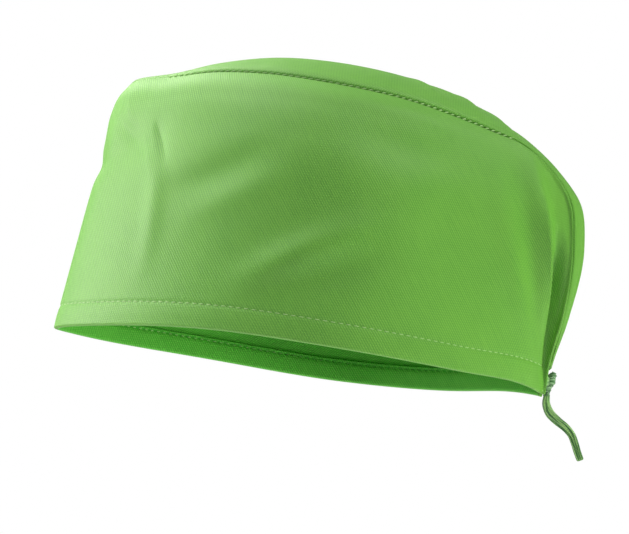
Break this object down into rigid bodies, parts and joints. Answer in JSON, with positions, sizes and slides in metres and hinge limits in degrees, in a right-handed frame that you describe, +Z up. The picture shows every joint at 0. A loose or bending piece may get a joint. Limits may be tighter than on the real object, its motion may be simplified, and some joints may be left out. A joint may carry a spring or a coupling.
{
  "type": "sanitary cap",
  "caption": "Cloth cap in worn form: deep side panel round the brow, domed crown panel narrowing to a tongue down the nape, and a turned hem with a drawcord tied at the back",
  "frame": {"origin": "centre of the head opening in the plane of the hem, half way from brow to nape", "axes": "+Z up and out of the opening into the crown, the brow towards -Y, the nape and the tie towards +Y, the wearer's left towards +X"},
  "size_m": [0.1609, 0.2564, 0.1942],
  "materials": {
    "side_twill": "matt green cotton twill",
    "crown_twill": "matt green cotton twill",
    "hem_twill": "matt green cotton twill, turned and stitched",
    "cord_cotton": "flat woven green cotton cord",
    "knot_cotton": "green cotton cord, pulled tight",
    "tie_cotton": "green cotton cord, gathered round"
  },
  "bodies": {
    "root": {"side_panel": "side_twill", "crown_panel": "crown_twill", "hem_casing": "hem_twill", "drawcord": "cord_cotton", "tie_knot": "knot_cotton", "tie_end": "tie_cotton"}
  },
  "joints": []
}
